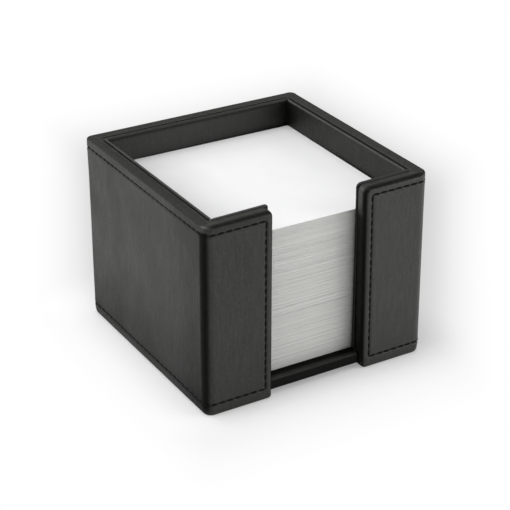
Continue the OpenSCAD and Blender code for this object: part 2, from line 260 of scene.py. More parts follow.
BAND = leather("band_leather", (0.0080, 0.0082, 0.0064), (0.0365, 0.0370, 0.0315))
LINING = leather("lining_leather", (0.0078, 0.0080, 0.0066), (0.0200, 0.0203, 0.0173),
                 rough=(0.40, 0.52), grain=0.0007)
FLOOR = leather("floor_leather", (0.0050, 0.0051, 0.0045), (0.0105, 0.0106, 0.0095),
                rough=(0.42, 0.54), grain=0.0007, level=0.35)
THREAD = thread_material()
PAPER = paper_material()
FELT = felt_material()
BOARD = board_material("greyboard", (0.16, 0.14, 0.11), (0.30, 0.27, 0.215))
CARD = board_material("black_card", (0.006, 0.006, 0.0055), (0.022, 0.022, 0.020))


def dress(node, material):
    """Gives a carried-over CAD node its material."""
    mesh = nodes[node].data
    mesh.materials.clear()
    mesh.materials.append(material)


for side in ("left", "right"):
    for place in ("wall_board", "flap_board"):
        dress(f"{side}_{place}", BOARD)
    for place in ("lining", "flap_lining"):
        dress(f"{side}_{place}", LINING)
        dress(f"{side}_{place}_card", CARD)
dress("back_wall_board", BOARD)
dress("back_lining", LINING)
dress("back_lining_card", CARD)
dress("floor_board", BOARD)
dress("floor_leather", FLOOR)
dress("under_card", CARD)
dress("base_felt", FELT)


# Mesh helpers
def make_object(name, points, faces, material, sharp, merge=0.0, values=()):
    """A mesh object from points in millimetres, smooth but for edges sharper than sharp degrees.
    Points closer than merge become one. Values are pairs of an attribute's name and its number
    at each point."""
    mesh = bpy.data.meshes.new(name)
    mesh.from_pydata((np.asarray(points, float) * MM).tolist(), [], faces)
    mesh.materials.append(material)
    for key, numbers in values:
        layer = mesh.attributes.new(key, "FLOAT", "POINT")
        layer.data.foreach_set("value", np.asarray(numbers, np.float32))
    obj = bpy.data.objects.new(name, mesh)
    bpy.context.scene.collection.objects.link(obj)
    if merge:
        bm = bmesh.new()
        bm.from_mesh(mesh)
        bmesh.ops.remove_doubles(bm, verts=bm.verts, dist=merge * MM)
        bmesh.ops.recalc_face_normals(bm, faces=bm.faces)
        bm.to_mesh(mesh)
        bm.free()
    mesh.shade_smooth()
    mesh.set_sharp_from_angle(angle=math.radians(sharp))
    return obj


def arc(cx, cy, r, start, end, steps):
    """Points on an arc, angles in degrees, both ends included."""
    t = np.radians(np.linspace(start, end, steps + 1))
    return [(cx + r * math.cos(a), cy + r * math.sin(a)) for a in t]


def smooth(x, low, high):
    """0 below low, 1 above high, and a smooth rise between them."""
    t = np.clip((x - low) / (high - low), 0, 1)
    return t * t * (3 - 2 * t)


def between(x, low, full, start, end):
    """1 from full to start, 0 below low and above end, and smooth between them."""
    return smooth(x, low, full) * (1 - smooth(x, start, end))


def outline(cols, rows, width, height, radii, steps):
    """Stations round the edge of a sheet: a point, the inward direction there and, at a rounded
    corner, which corner it is and its radius. Corners are named by right and top, as 0 or 1."""
    def corner(right, top, start):
        r = radii[right, top]
        cu = width - r if right else r
        cz = height - r if top else r
        for k in range(1, steps):
            t = math.radians(start + 90 * k / steps)
            stations.append((cu + r * math.cos(t), cz + r * math.sin(t), -math.cos(t), -math.sin(t),
                             (right, top, r)))

    stations = [(u, 0.0, 0, 1, None) for u in cols]
    corner(1, 0, -90)
    stations += [(width, z, -1, 0, None) for z in rows]
    corner(1, 1, 0)
    stations += [(u, height, 0, -1, None) for u in cols[::-1]]
    corner(0, 1, 90)
    stations += [(0.0, z, 1, 0, None) for z in rows[::-1]]
    corner(0, 0, 180)
    return stations


def inwards(station, s, width, height):
    """The point at distance s inwards from a station."""
    u, z, du, dz, at = station
    if at is None:
        return min(max(u + du * s, s), width - s), min(max(z + dz * s, s), height - s)
    right, top, r = at
    if s >= r:
        return (width - s if right else s), (height - s if top else s)
    return u + du * s, z + dz * s


def grid_faces(nc, nr, steps):
    """Faces of a grid of nc by nr points, and for each station of its outline the point on the
    grid's border that it starts from."""
    def at(i, j):
        return j * nc + i

    faces = [(at(i, j), at(i, j + 1), at(i + 1, j + 1), at(i + 1, j))
             for j in range(nr - 1) for i in range(nc - 1)]
    start = [at(i, 0) for i in range(nc)] + [at(nc - 1, 0)] * (steps - 1)
    start += [at(nc - 1, j) for j in range(nr)] + [at(nc - 1, nr - 1)] * (steps - 1)
    start += [at(i, nr - 1) for i in range(nc - 1, -1, -1)] + [at(0, nr - 1)] * (steps - 1)
    start += [at(0, j) for j in range(nr - 1, -1, -1)] + [at(0, 0)] * (steps - 1)
    return faces, start


def join_rings(rings, faces):
    """Adds the faces between each ring of points and the next."""
    for r0, r1 in zip(rings[:-1], rings[1:]):
        for k in range(len(r0)):
            m = (k + 1) % len(r0)
            quad = [r0[k], r0[m], r1[m], r1[k]]
            quad = [q for n, q in enumerate(quad) if q not in quad[:n]]
            if len(quad) > 2:
                faces.append(tuple(quad))


# The band's path: flats and corners in turn
FLAP_L = HALF - CORNER_R - FLAP_END
SIDE_L = 2 * (HALF - CORNER_R)
TURN_L = math.pi / 2 * CORNER_R
RUNS = [FLAP_L, TURN_L, SIDE_L, TURN_L, SIDE_L, TURN_L, SIDE_L, TURN_L, FLAP_L]
STARTS = np.concatenate([[0], np.cumsum(RUNS)])
LENGTH = float(STARTS[-1])
# Direction of travel and inward normal on the left flap, the left, back and right walls and the
# right flap, seen from above
SIDES = [((-1, 0), (0, 1)), ((0, 1), (1, 0)), ((1, 0), (0, -1)), ((0, -1), (-1, 0)),
         ((-1, 0), (0, 1))]
MIDDLES = [(0, -HALF), (-HALF, 0), (0, HALF), (HALF, 0), (0, -HALF)]

# How far each upright corner stands out at the top, by its number in RUNS, and the heights
# between which it starts to
PINCH = {1: 0.2, 3: 0.3, 5: 0.85, 7: 0.05}
PINCH_Z = (66, 82)
DIAGONAL = 0.707
# How sharp the left flap's lower corner is: 2 is round
CORNER_POWER = 4.4
# How far to the left the band stands at LEAN_RISE above LEAN_Z, at distances along it. It stands
# as far to the right at LEAN_RISE below
LEAN_AT = (STARTS[4] + RUNS[4] / 2, STARTS[5], STARTS[7], LENGTH)
LEAN = (0.0, 0.42, 0.42, 0.6)
LEAN_Z, LEAN_RISE = 45, 40
# How much higher the band's top is, at distances along it. That grows from SLOPE_Z over SLOPE_RISE
SLOPE_AT = (0.0, STARTS[2], STARTS[7], LENGTH)
SLOPE = (0.5, 0.0, 0.0, -0.45)
SLOPE_Z, SLOPE_RISE = 40, 44

# Stitch rows: heights of the long ones, distances along the band of the short ones
ROWS = (LOW_ROW, TOP_ROW)
END_ROWS = (END_ROW, LENGTH - END_ROW)
LONG_STITCHES = round((LENGTH - 2 * END_ROW) / STITCH)
SHORT_STITCHES = round((TOP_ROW - LOW_ROW) / STITCH)
LONG_STEP = (LENGTH - 2 * END_ROW) / LONG_STITCHES
SHORT_STEP = (TOP_ROW - LOW_ROW) / SHORT_STITCHES

rng = np.random.default_rng(7)
WAVES = [(rng.uniform(0.02, 0.16), rng.uniform(0.02, 0.12), rng.uniform(0, 6.28),
          rng.uniform(0.5, 1.0)) for _ in range(14)]

# The painted shade stripe on each upright corner, standing in for a dark reflection: its number in
# RUNS, where along the corner it starts, is full, begins to fade and ends, and how dark it is
CORNER_SHADE_STRIPES = ((1, 0.12, 0.56, 0.94, 1.38, 0.97), (3, 0.2, 0.46, 0.64, 0.8, 0.6),
         (5, 0.2, 0.46, 0.64, 0.8, 0.6), (7, 0.02, 0.28, 0.45, 0.65, 0.75))


def on_path(a, v):
    """Plan position at distance a along the band's outer face and depth v inwards from it."""
    a = min(max(a, 0.0), LENGTH)
    k = min(int(np.searchsorted(STARTS, a, side="right")) - 1, len(RUNS) - 1)
    rest = a - STARTS[k]
    side = k // 2
    (dx, dy), (nx, ny) = SIDES[side]
    mx, my = MIDDLES[side]
    if k % 2 == 0:
        t = rest + (FLAP_END if side == 0 else CORNER_R - HALF)
        reach = HALF - max(v, CORNER_R)
        t = min(max(t, -reach), reach)
    elif v >= CORNER_R:
        t = HALF - v
    else:
        cx = mx + dx * (HALF - CORNER_R) + nx * CORNER_R
        cy = my + dy * (HALF - CORNER_R) + ny * CORNER_R
        angle = rest / CORNER_R
        r = CORNER_R - v
        return (cx - nx * r * math.cos(angle) + dx * r * math.sin(angle),
                cy - ny * r * math.cos(angle) + dy * r * math.sin(angle))
    return mx + dx * t + nx * v, my + dy * t + ny * v


def rise_at(b):
    """How much of the slope of the top a height takes, from 0 to 1."""
    return min(max((b - SLOPE_Z) / SLOPE_RISE, 0), 1)


def pinched(a, b, v):
    """Place of a point of the band's leather. The upper corners and the left flap's lower corner
    stand out a little sharper, the right wall and flap lean in towards the top, and the tops of
    the flaps slope a little."""
    if a < FLAP_CORNER_R and b < FLAP_CORNER_R:
        da, db = FLAP_CORNER_R - a, FLAP_CORNER_R - b
        square = math.hypot(da, db) / (da ** CORNER_POWER + db ** CORNER_POWER) ** (1 / CORNER_POWER)
        a, b = FLAP_CORNER_R - da * square, FLAP_CORNER_R - db * square
    x, y = on_path(a, v)
    k = int(np.searchsorted(STARTS, a, side="right")) - 1
    if k in PINCH and v < CORNER_R:
        t = (a - STARTS[k]) / RUNS[k]
        push = PINCH[k] * math.sin(math.pi * t) * float(smooth(b, *PINCH_Z)) * (1 - v / CORNER_R)
        x += math.copysign(push, x) * DIAGONAL
        y += math.copysign(push, y) * DIAGONAL
    x -= float(np.interp(a, LEAN_AT, LEAN)) * (b - LEAN_Z) / LEAN_RISE
    return x, y, b + float(np.interp(a, SLOPE_AT, SLOPE)) * rise_at(b)


def row_shape(along, across):
    """Depth of the stitch groove, deepest at the needle holes, and the leather puffed beside it."""
    hole = 0.5 + 0.5 * np.cos(2 * np.pi * along)
    groove = GROOVE_DEPTH * (1.1 - 0.6 * hole ** 8)
    groove = groove * np.exp(-(across / (GROOVE_W * (1.1 - 0.3 * hole))) ** 2)
    puff = 0.075 * np.exp(-((np.abs(across) - 1.15) / 0.7) ** 2) * (0.75 + 0.25 * (1 - hole))
    return groove - puff


def within(x, low, high, margin, slope):
    """1 from low to high, and a steep fall to 0 a margin outside them."""
    return 1 / (1 + np.exp(-(x - low + margin) * slope)) / (1 + np.exp((x - high - margin) * slope))


def outer_depth(a, b):
    """How far the outer leather lies inside its plain face, at distance a along and height b."""
    a, b = np.asarray(a, float), np.asarray(b, float)
    d = np.zeros(np.broadcast(a, b).shape)
    for row in ROWS:
        d = d + row_shape((a - END_ROW) / LONG_STEP, b - row) * within(a, *END_ROWS, 0.2, 6)
    for end in END_ROWS:
        d = d + row_shape((b - LOW_ROW) / SHORT_STEP, a - end) * within(b, *ROWS, 0.2, 6)
    for fa, fb, phase, size in WAVES:
        d = d + 0.022 * size * np.sin(fa * a + fb * b + phase) * np.sin(0.43 * fb * b + phase * 1.7)
    return d + 0.55 * np.clip(1 - b / LOW_ROW, 0, 1) ** 2


def groove_shade_at(a, b):
    """Painted shade in the stitch groove: 1 along a stitch, 0 beside the row and low where the
    leather is pinched between two.
    """
    hold_a = 1 - 0.5 * np.cos(np.pi * (a - END_ROW) / LONG_STEP) ** 14
    hold_b = 1 - 0.2 * np.cos(np.pi * (b - LOW_ROW) / SHORT_STEP) ** 14
    long = sum(np.exp(-((b - row) / 0.4) ** 2) for row in ROWS) * hold_a
    upright = sum(np.exp(-((a - end) / 0.34) ** 2) for end in END_ROWS) * hold_b
    return np.maximum(long * within(a, *END_ROWS, 0.3, 8), upright * within(b, *ROWS, 0.3, 8))


def corner_shade_at(a):
    """How dark the painted shade stripe on an upright corner of the band is, and 0 on its flat sides."""
    out = np.zeros(np.shape(a))
    for k, low, full, start, end, weight in CORNER_SHADE_STRIPES:
        out = np.maximum(out, weight * between((a - STARTS[k]) / RUNS[k], low, full, start, end))
    return out


def side_shade_at(a, b):
    """How much painted shade darkens the flat sides against the right flap: most on the left
    side, and low down.
    """
    left = between(a, STARTS[1], STARTS[2], STARTS[3], STARTS[4])
    near = left * (1 - smooth(a, STARTS[2] + 4, STARTS[2] + 34))
    flap = 1 - smooth(a, STARTS[1], STARTS[2])
    low = 1 - smooth(b, 2, 46)
    margin = flap * smooth(b, TOP_ROW + 0.3, TOP_ROW + 1.3)
    return 0.40 * left + 0.19 * near + 0.18 * flap + (0.10 + 0.2 * left) * low + 0.15 * margin


def on_flap(a):
    """1 on the two flaps, 0 on the walls."""
    return float(1 - smooth(min(a, LENGTH - a), FLAP_L - 1, FLAP_L + TURN_L))


def on_back(a):
    """1 on the back wall, 0 on the others."""
    return float(between(a, STARTS[4] + 1, STARTS[4] + 3, STARTS[5] - 3, STARTS[5] - 1))


def on_right(a):
    """1 on the right wall, 0 on the others."""
    return float(between(a, STARTS[5] - 1, STARTS[5] + 3, STARTS[7] - 3, STARTS[7] - 1))


def thinned(values, gap, ends):
    """Values in order, each more than gap past the one before, with the first and last set."""
    values = np.array(sorted(set(round(v, 4) for v in values)))
    values = values[np.concatenate([[True], np.diff(values) > gap])]
    values[0], values[-1] = ends
    return values


# Rings of the band's profile that follow its grooves, and that are in sight
FOLLOWING_RINGS, SEEN_RINGS = 14, 21
# Columns and rows of the band's grid for each stitch, columns at an upright corner, and parts of
# a rounded corner of a sheet
STITCH_COLS, STITCH_ROWS, CORNER_COLS, BAND_STEPS, PANEL_STEPS = 5, 4, 9, 8, 6


def band_profile(station):
    """The band's section at a station, from its face over the rolled edge to what is turned in:
    distances from the edge and depths."""
    a, b, da, db = station[:4]
    # Half axes of the roll, along the face and through the thickness: at the bottom, at the top,
    # and at a free end
    level = np.array([1.5, 1.5])
    if b > BAND_H / 2:
        level = 0.5 + np.array([1.35, 2.3]) * on_flap(a)
    rs, rv = level * db * db + np.array([2.2, 2.6]) * da * da
    edge, last = FLAP_CORNER_R, BAND_T - RIM_R
    lie = [(edge, 0.0), (rs + (edge - rs) * 0.5, 0.0), (rs + 0.12, 0.0)]
    for t in np.radians(np.linspace(0, 90, 8)):
        lie.append((rs * (1 - math.sin(t)), rv * (1 - math.cos(t))))
    lie += [(0, rv + (last - rv) * k) for k in (0.08, 0.3, 0.6)]
    lie += [(0, last - 0.65), (0, last - 0.35), (0, last - 0.12)]
    lie += arc(RIM_R, last, RIM_R, 180, 90, 5)
    lie += [(1.6, BAND_T), (4, BAND_T), (TURN_IN_W, BAND_T), (TURN_IN_W, BAND_T - TURN_IN_T),
            (LEATHER_T, BAND_T - TURN_IN_T), (LEATHER_T, 3.2)]
    lie += [(LEATHER_T + 0.1, 1.7), (LEATHER_T + 0.4, LEATHER_T + 0.4), (1.9, LEATHER_T)]
    return lie + [(edge, LEATHER_T)]


def roll_light_and_shade(station, a, b, s, v):
    """How dark the painted shade on the rolled edge is: most at the free ends and on the two
    flaps. It is below zero at a painted glint on the near corner, beside a painted dark spot."""
    # Painted shade in the gap between the rim and the lining
    if s > (0.5 - 0.35 * on_right(a)) * RIM_R and v > BAND_T / 2:
        return 0.5 + 0.5 * on_back(a) + 0.5 * on_right(a) - 0.3 * on_flap(a)
    # Painted shade on the corner stripes, the sides, the rolls and the flat tops of the walls
    corner = float(corner_shade_at(a)) if v < 0.8 else 0.0
    corner = max(0.8 * corner, float(side_shade_at(a, b)) * (1 - float(smooth(v, 0.4, 1.2))))
    soft = float(between(v, 0.0, 0.6, 1.3, 3.0))
    flat = 0.38 * float(between(v, 0.25, 0.7, BAND_T - 1.3, BAND_T - 0.9))
    gap = float(smooth(v, BAND_T - 0.75, BAND_T - 0.4)) * on_back(a)
    top = max(soft * (0.02 + 0.8 * on_flap(a)), flat * (1 - on_flap(a)), gap)
    level = top if b > BAND_H / 2 else 0.5 * float(smooth(v, 0.0, 0.3))
    # Painted shade on the free ends, darker below the top of the paper
    end = max(0.95 * soft, 0.8 * float(smooth(v, 0.0, 0.6)) * (1 - float(smooth(b, 71, 74))))
    da, db = station[2:4]
    # A painted glint and a painted dark spot at the top of the near corner
    painted_glint, painted_shade_spot = 0.0, 0.0
    if b > 80:
        t = (a - STARTS[1]) / TURN_L
        painted_glint = 2.0 * math.exp(-((t - 0.7) / 0.25) ** 2 - ((v - 0.45) / 0.4) ** 2)
        painted_shade_spot = 0.8 * math.exp(-((t - 0.2) / 0.15) ** 2 - ((v - 0.6) / 0.5) ** 2)
    return max(level * db * db + end * da * da, corner, painted_shade_spot) - painted_glint


def build_band():
    """The band as one closed skin: the outer leather, its rolled edges and what is turned in."""
    edge, steps = FLAP_CORNER_R, BAND_STEPS
    cols = list(np.arange(END_ROW, LENGTH - END_ROW + 1e-6, LONG_STEP / STITCH_COLS))
    near = [END_ROW + d for d in (-0.5, -0.25, 0.25, 0.5)] + [edge]
    cols += near + [LENGTH - c for c in near]
    for k in range(1, len(RUNS), 2):
        cols += list(np.linspace(STARTS[k], STARTS[k + 1], CORNER_COLS))
    cols = thinned(cols, 0.12, (edge, LENGTH - edge))
    rows = list(np.linspace(LOW_ROW, TOP_ROW, SHORT_STITCHES * STITCH_ROWS + 1))
    for row in ROWS:
        rows += [row + s * d for d in (0.22, 0.45, 0.7, 1.1, 1.7) for s in (-1, 1)]
    rows = [r for r in rows if edge < r < BAND_H - edge] + [edge, BAND_H - edge]
    rows = thinned(rows, 0.1, (edge, BAND_H - edge))
    radii = {(right, top): edge for right in (0, 1) for top in (0, 1)}
    stations = outline(cols, rows, LENGTH, BAND_H, radii, steps)

    n_cols, n_rows = len(cols), len(rows)
    grid_a, grid_b = np.meshgrid(cols, rows)
    depth = outer_depth(grid_a, grid_b)
    points = [pinched(cols[i], rows[j], depth[j, i]) for j in range(n_rows) for i in range(n_cols)]
    # Painted shade along the stitch grooves, on the upright corners and on the sides
    painted_groove_shade = list(groove_shade_at(grid_a, grid_b).ravel())
    painted_light_and_shade = list(np.maximum(corner_shade_at(grid_a), side_shade_at(grid_a, grid_b)).ravel())
    faces, start = grid_faces(n_cols, n_rows, steps)
    profiles = [band_profile(station) for station in stations]
    rings = [start]
    for k in range(1, len(profiles[0])):
        rings.append(range(len(points), len(points) + len(stations)))
        for station, lie in zip(stations, profiles):
            s, v = lie[k]
            a, b = inwards(station, s, LENGTH, BAND_H)
            fade = max(0.0, 1 - v / ROLL_R) if k < FOLLOWING_RINGS else 0.0
            d = float(outer_depth(a, b)) * fade if fade else 0.0
            points.append(pinched(a, b, v + d))
            painted_groove_shade.append(0.0)
            painted_light_and_shade.append(roll_light_and_shade(station, a, b, s, v) if k < SEEN_RINGS else 1.0)
    join_rings(rings, faces)

    # The inner side of the leather: upright strips, and one face at each end
    last = list(rings[-1])
    right_at = n_cols + steps - 1
    top_at = right_at + n_rows + steps - 1
    left_at = top_at + n_cols + steps - 1
    bottom, right = last[:n_cols], last[right_at:right_at + n_rows]
    top, left = last[top_at:top_at + n_cols][::-1], last[left_at:left_at + n_rows]
    for i in range(1, n_cols - 2):
        faces.append((bottom[i], bottom[i + 1], top[i + 1], top[i]))
    faces.append((bottom[1], top[1], top[0], *left[1:-1], bottom[0]))
    faces.append((bottom[-2], bottom[-1], *right[1:-1], top[-1], top[-2]))
    return make_object("band_skin", points, faces, BAND, sharp=50, merge=0.004,
                       values=(("painted_groove_shade", painted_groove_shade), ("painted_light_and_shade", painted_light_and_shade)))


band = build_band()
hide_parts("outer_band")
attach(band, "root")


# Linings
def folded_panel(name, width, free_end, put, seed, height=PANEL_H, dark_reach=0.0, plain=0.0,
                 under_lip=0.0, lit=0.0, groove=1.2, tip=2.2):
    """A lining panel's leather: over the card's face, rolled over its top and, with free_end,
    over the end at distance 0, and turned in behind. put takes a distance along the panel, a
    height and a depth to a place. dark_reach is how far the painted shade of the dark corner at
    the panel's far end goes. plain and under_lip are painted shade on the face, all over and just
    below the lip, lit is a painted highlight along the lip, groove is the depth at which the
    painted shade of the gap starts, and tip is the radius of the upper corner at a free end."""
    rnd = np.random.default_rng(seed)
    # Thickness of the leather in front and behind, and radii of the rolled edge on both sides
    skin, back, lip, hem = 0.55, 0.4, 0.85, 0.55
    edge, turn_in, steps = 2.2, 10.0, PANEL_STEPS
    radii = {(0, 0): 0.95, (1, 0): 0.95, (1, 1): 0.95, (0, 1): tip if free_end else 0.95}
    cols = np.linspace(edge, width - edge, max(6, int(width / 1.5)))
    rows = np.concatenate([np.linspace(edge, height - 6, 36), np.linspace(height - 5, height - edge, 6)])
    waves = [(rnd.uniform(0.05, 0.4), rnd.uniform(0.03, 0.25), rnd.uniform(0, 6.28), rnd.uniform(0.3, 1))
             for _ in range(10)]

    def depth(u, z):
        d = sum(0.012 * w * math.sin(fu * u + fz * z + ph) for fu, fz, ph, w in waves)
        return d - 0.05 * math.exp(-((z - height + 1.9) / 0.9) ** 2)

    # Painted shade on the face: a dark far corner, plain all over, and a dark line under the lip
    def shade(u, z):
        corner = 0.85 * math.exp(-(abs(u - width) / dark_reach) ** 1.4) if dark_reach else 0.0
        return max(corner, plain, under_lip * math.exp(-(max(height - 1.0 - z, 0) / 0.8) ** 2))

    def painted_light_of(station, u, z, s, v):
        """Painted shade on the rolled edges, and below zero a painted highlight on the lip."""
        dark = float(smooth(v, groove, groove + 0.3)) * (0.15 if free_end else 1.0)
        # A painted highlight along the lip
        if z > height - 1 and 0.05 < v < (1.6 if free_end else min(groove + 0.05, 0.9)):
            dark -= lit
        if v < 0.3:
            dark = max(dark, shade(u, z) * (1 - v / 0.3) * min(1.0, s / 1.2))
        if free_end and station[2] > 0.5:
            dark = max(dark, 0.65 * float(smooth(v, 0.1, 0.5)))
        return dark

    profile = [(edge, 0.0), (1.5, 0.0), (1.05, 0.0)] + arc(lip, lip, lip, 270, 180, 7)
    profile += arc(hem, PANEL_T - hem, hem, 180, 90, 7)
    seen_rings = len(profile)
    profile += [(1.4, PANEL_T), (4, PANEL_T), (turn_in, PANEL_T), (turn_in, PANEL_T - back),
                (4, PANEL_T - back), (1.1, PANEL_T - back), (skin + 0.1, 1.0), (1.0, skin + 0.02),
                (edge, skin)]
    points = [put(u, z, depth(u, z)) for z in rows for u in cols]
    painted_light_and_shade = [shade(u, z) for z in rows for u in cols]
    stations = outline(cols, rows, width, height, radii, steps)
    faces, start = grid_faces(len(cols), len(rows), steps)
    rings = [start]
    for k, (s, v) in enumerate(profile[1:], 1):
        rings.append(range(len(points), len(points) + len(stations)))
        seen = k < seen_rings
        for station in stations:
            u, z = inwards(station, s, width, height)
            d = depth(u, z) * (1 - v / lip) if seen and v < lip else 0.0
            points.append(put(u, z, v + d))
            painted_light_and_shade.append(painted_light_of(station, u, z, s, v) if seen else 1.0)
    join_rings(rings, faces)
    faces.append(tuple(rings[-1]))
    return make_object(name, points, faces, LINING, sharp=50, merge=0.002, values=(("painted_light_and_shade", painted_light_and_shade),))


def panel(name, node, *rest, **more):
    piece = folded_panel(name, *rest, **more)
    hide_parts(node)
    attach(piece, "root")


def sloped(u, z, rise):
    """Height of a place on a flap's lining at distance u from its free end, raised like the band."""
    return z + FLOOR_TOP + rise * rise_at(z + FLOOR_TOP) * (1 - u / FLAP_W)


panel("left_lining_skin", "left_lining", 2 * CAVITY, False,
      lambda u, z, v: (-CAVITY - v, u - CAVITY, z + FLOOR_TOP), 31, lit=0.5, groove=1.35)
panel("right_lining_skin", "right_lining", 2 * CAVITY, False,
      lambda u, z, v: (CAVITY + v - 0.011 * max(z - 22, 0), u - CAVITY, z + FLOOR_TOP), 32,
      height=PANEL_H - 0.3, dark_reach=17.0, plain=0.5, lit=0.4, groove=0.55)
panel("back_lining_skin", "back_lining", 2 * INSIDE, False,
      lambda u, z, v: (u - INSIDE, CAVITY + v, z + FLOOR_TOP), 33, height=PANEL_H - 0.35,
      dark_reach=8.5, under_lip=0.7)
panel("left_flap_lining_skin", "left_flap_lining", FLAP_W, True,
      lambda u, z, v: (-LINING_END - u, -CAVITY - v, sloped(u, z, SLOPE[0])), 34, lit=0.3, tip=1.3)
panel("right_flap_lining_skin", "right_flap_lining", FLAP_W, True,
      lambda u, z, v: (LINING_END + u - 0.007 * max(z - 38, 0), -CAVITY - v, sloped(u, z, SLOPE[-1])), 35)


def build_floor_leather():
    """The leather over the floor and its tongue. The tongue's front edge is rolled under."""
    box = np.array(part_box("floor_leather")) / MM
    # Half the tongue's width, thickness of the leather and radius of its upper edge
    tongue, skin, r = 21.5, 0.8, 1.1
    side, front, back = box[1][0], box[0][1], box[1][1]
    top, bottom = box[1][2], box[0][2]
    join = front + 4.0
    # Front edge of the sheet on both sides of the tongue
    inner = -INSIDE + 0.3
    rnd = np.random.default_rng(41)
    phase = rnd.uniform(0, 6.28, 4)
    section = [(4.0, top), (r + 2.2, top), (r + 1.5, top), (r + 0.7, top)]
    section += [(y, top - r + z) for y, z in arc(r, 0, r, 90, 180, 8)]
    section += [(0, bottom + 2.2), (0, bottom + 1.0)]
    section += [(y, bottom + 0.7 + z) for y, z in arc(0.7, 0, 0.7, 180, 270, 5)]
    rolled = range(4, 19)
    section += [(4.0, bottom), (9.0, bottom), (9.0, bottom + skin), (1.4, bottom + skin),
                (skin, bottom + 1.5), (skin, top - 1.5), (1.4, top - skin), (4.0, top - skin)]
    points, faces, painted_light_and_shade = [], [], []
    xs = np.linspace(-tongue, tongue, 61)
    for x in xs:
        sway = 0.04 * math.sin(0.21 * x + phase[0]) + 0.025 * math.sin(0.63 * x + phase[1])
        for k, (y, z) in enumerate(section):
            points.append((x, front + (y + 0.07 + sway if k in rolled else y), z))
            # Painted shade: all of the leather but the rounded front edge of its top is darkened
            painted_light_and_shade.append(max(0.82 * float(smooth(top - z, 0.3, 0.9)), float(smooth(y, 0.9, 3.2))))
    m = len(section)
    for i in range(len(xs) - 1):
        for k in range(m - 1):
            faces.append((i * m + k, i * m + k + 1, (i + 1) * m + k + 1, (i + 1) * m + k))
    faces.append(tuple(range(m))[::-1])
    faces.append(tuple((len(xs) - 1) * m + k for k in range(m)))

    # The sheet behind the tongue, a plate under the stack that is joined to it along its front
    first = len(points)
    plan = [(x, join) for x in xs]
    plan += [(tongue, inner), (side, inner), (side, back), (-side, back), (-side, inner), (-tongue, inner)]
    for z in (top - skin, top):
        points += [(x, y, z) for x, y in plan]
        # The plate under the stack is painted fully dark, as shade
        painted_light_and_shade += [1.0] * len(plan)
    m = len(plan)
    for k in range(len(xs) - 1, m):
        n = (k + 1) % m
        faces.append((first + k, first + n, first + m + n, first + m + k))
    faces.append(tuple(first + k for k in range(m))[::-1])
    faces.append(tuple(first + m + k for k in range(m)))
    return make_object("floor_skin", points, faces, FLOOR, sharp=40, merge=0.002, values=(("painted_light_and_shade", painted_light_and_shade),))


floor_skin = build_floor_leather()
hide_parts("floor_leather")
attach(floor_skin, "root")


def build_felt():
    """The felt on the underside, with a soft fuzzy edge."""
    box = np.array(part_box("base_felt")) / MM
    half, low, high = box[1][0], box[0][2], box[1][2]
    rnd = np.random.default_rng(43)
    cols = np.linspace(-1, 1, 57)
    n = len(cols)
    points, faces = [], []
    bumps = rnd.normal(0, 0.03, (n, n))
    for level in (0, 1):
        for j, v in enumerate(cols):
            for i, u in enumerate(cols):
                x, y = u * half, v * half
                rim = min(half - abs(x), half - abs(y))
                ease = 0.35 * math.exp(-rim / 0.6)
                points.append((x, y, high - 0.01 if level else low + min(ease + abs(bumps[j, i]), 0.5)))

    def at(level, i, j):
        return level * n * n + j * n + i

    for j in range(n - 1):
        for i in range(n - 1):
            faces.append((at(0, i, j), at(0, i, j + 1), at(0, i + 1, j + 1), at(0, i + 1, j)))
            faces.append((at(1, i, j), at(1, i + 1, j), at(1, i + 1, j + 1), at(1, i, j + 1)))
    for k in range(n - 1):
        for a, b in (((k, 0), (k + 1, 0)), ((n - 1, k), (n - 1, k + 1)), ((k + 1, n - 1), (k, n - 1)),
                     ((0, k + 1), (0, k))):
            faces.append((at(0, *a), at(0, *b), at(1, *b), at(1, *a)))
    return make_object("felt_pad", points, faces, FELT, sharp=60)


felt = build_felt()
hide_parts("base_felt")
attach(felt, "root")


# Stitches
def surface(a, b):
    """Place and outward direction of the band's plain face."""
    face = np.array(pinched(a, b, 0.0))
    out = face - np.array(pinched(a, b, 1.0))
    return face, out / np.linalg.norm(out)


def stitch_rows():
    """Start of each stitch, as a distance along the band and a height, and how far it goes."""
    out = []
    for row in ROWS:
        out += [(END_ROW + k * LONG_STEP, row, LONG_STEP, 0) for k in range(LONG_STITCHES)]
    for end in END_ROWS:
        out += [(end, LOW_ROW + k * SHORT_STEP, 0, SHORT_STEP) for k in range(SHORT_STITCHES)]
    return out


THREAD_R = 0.28


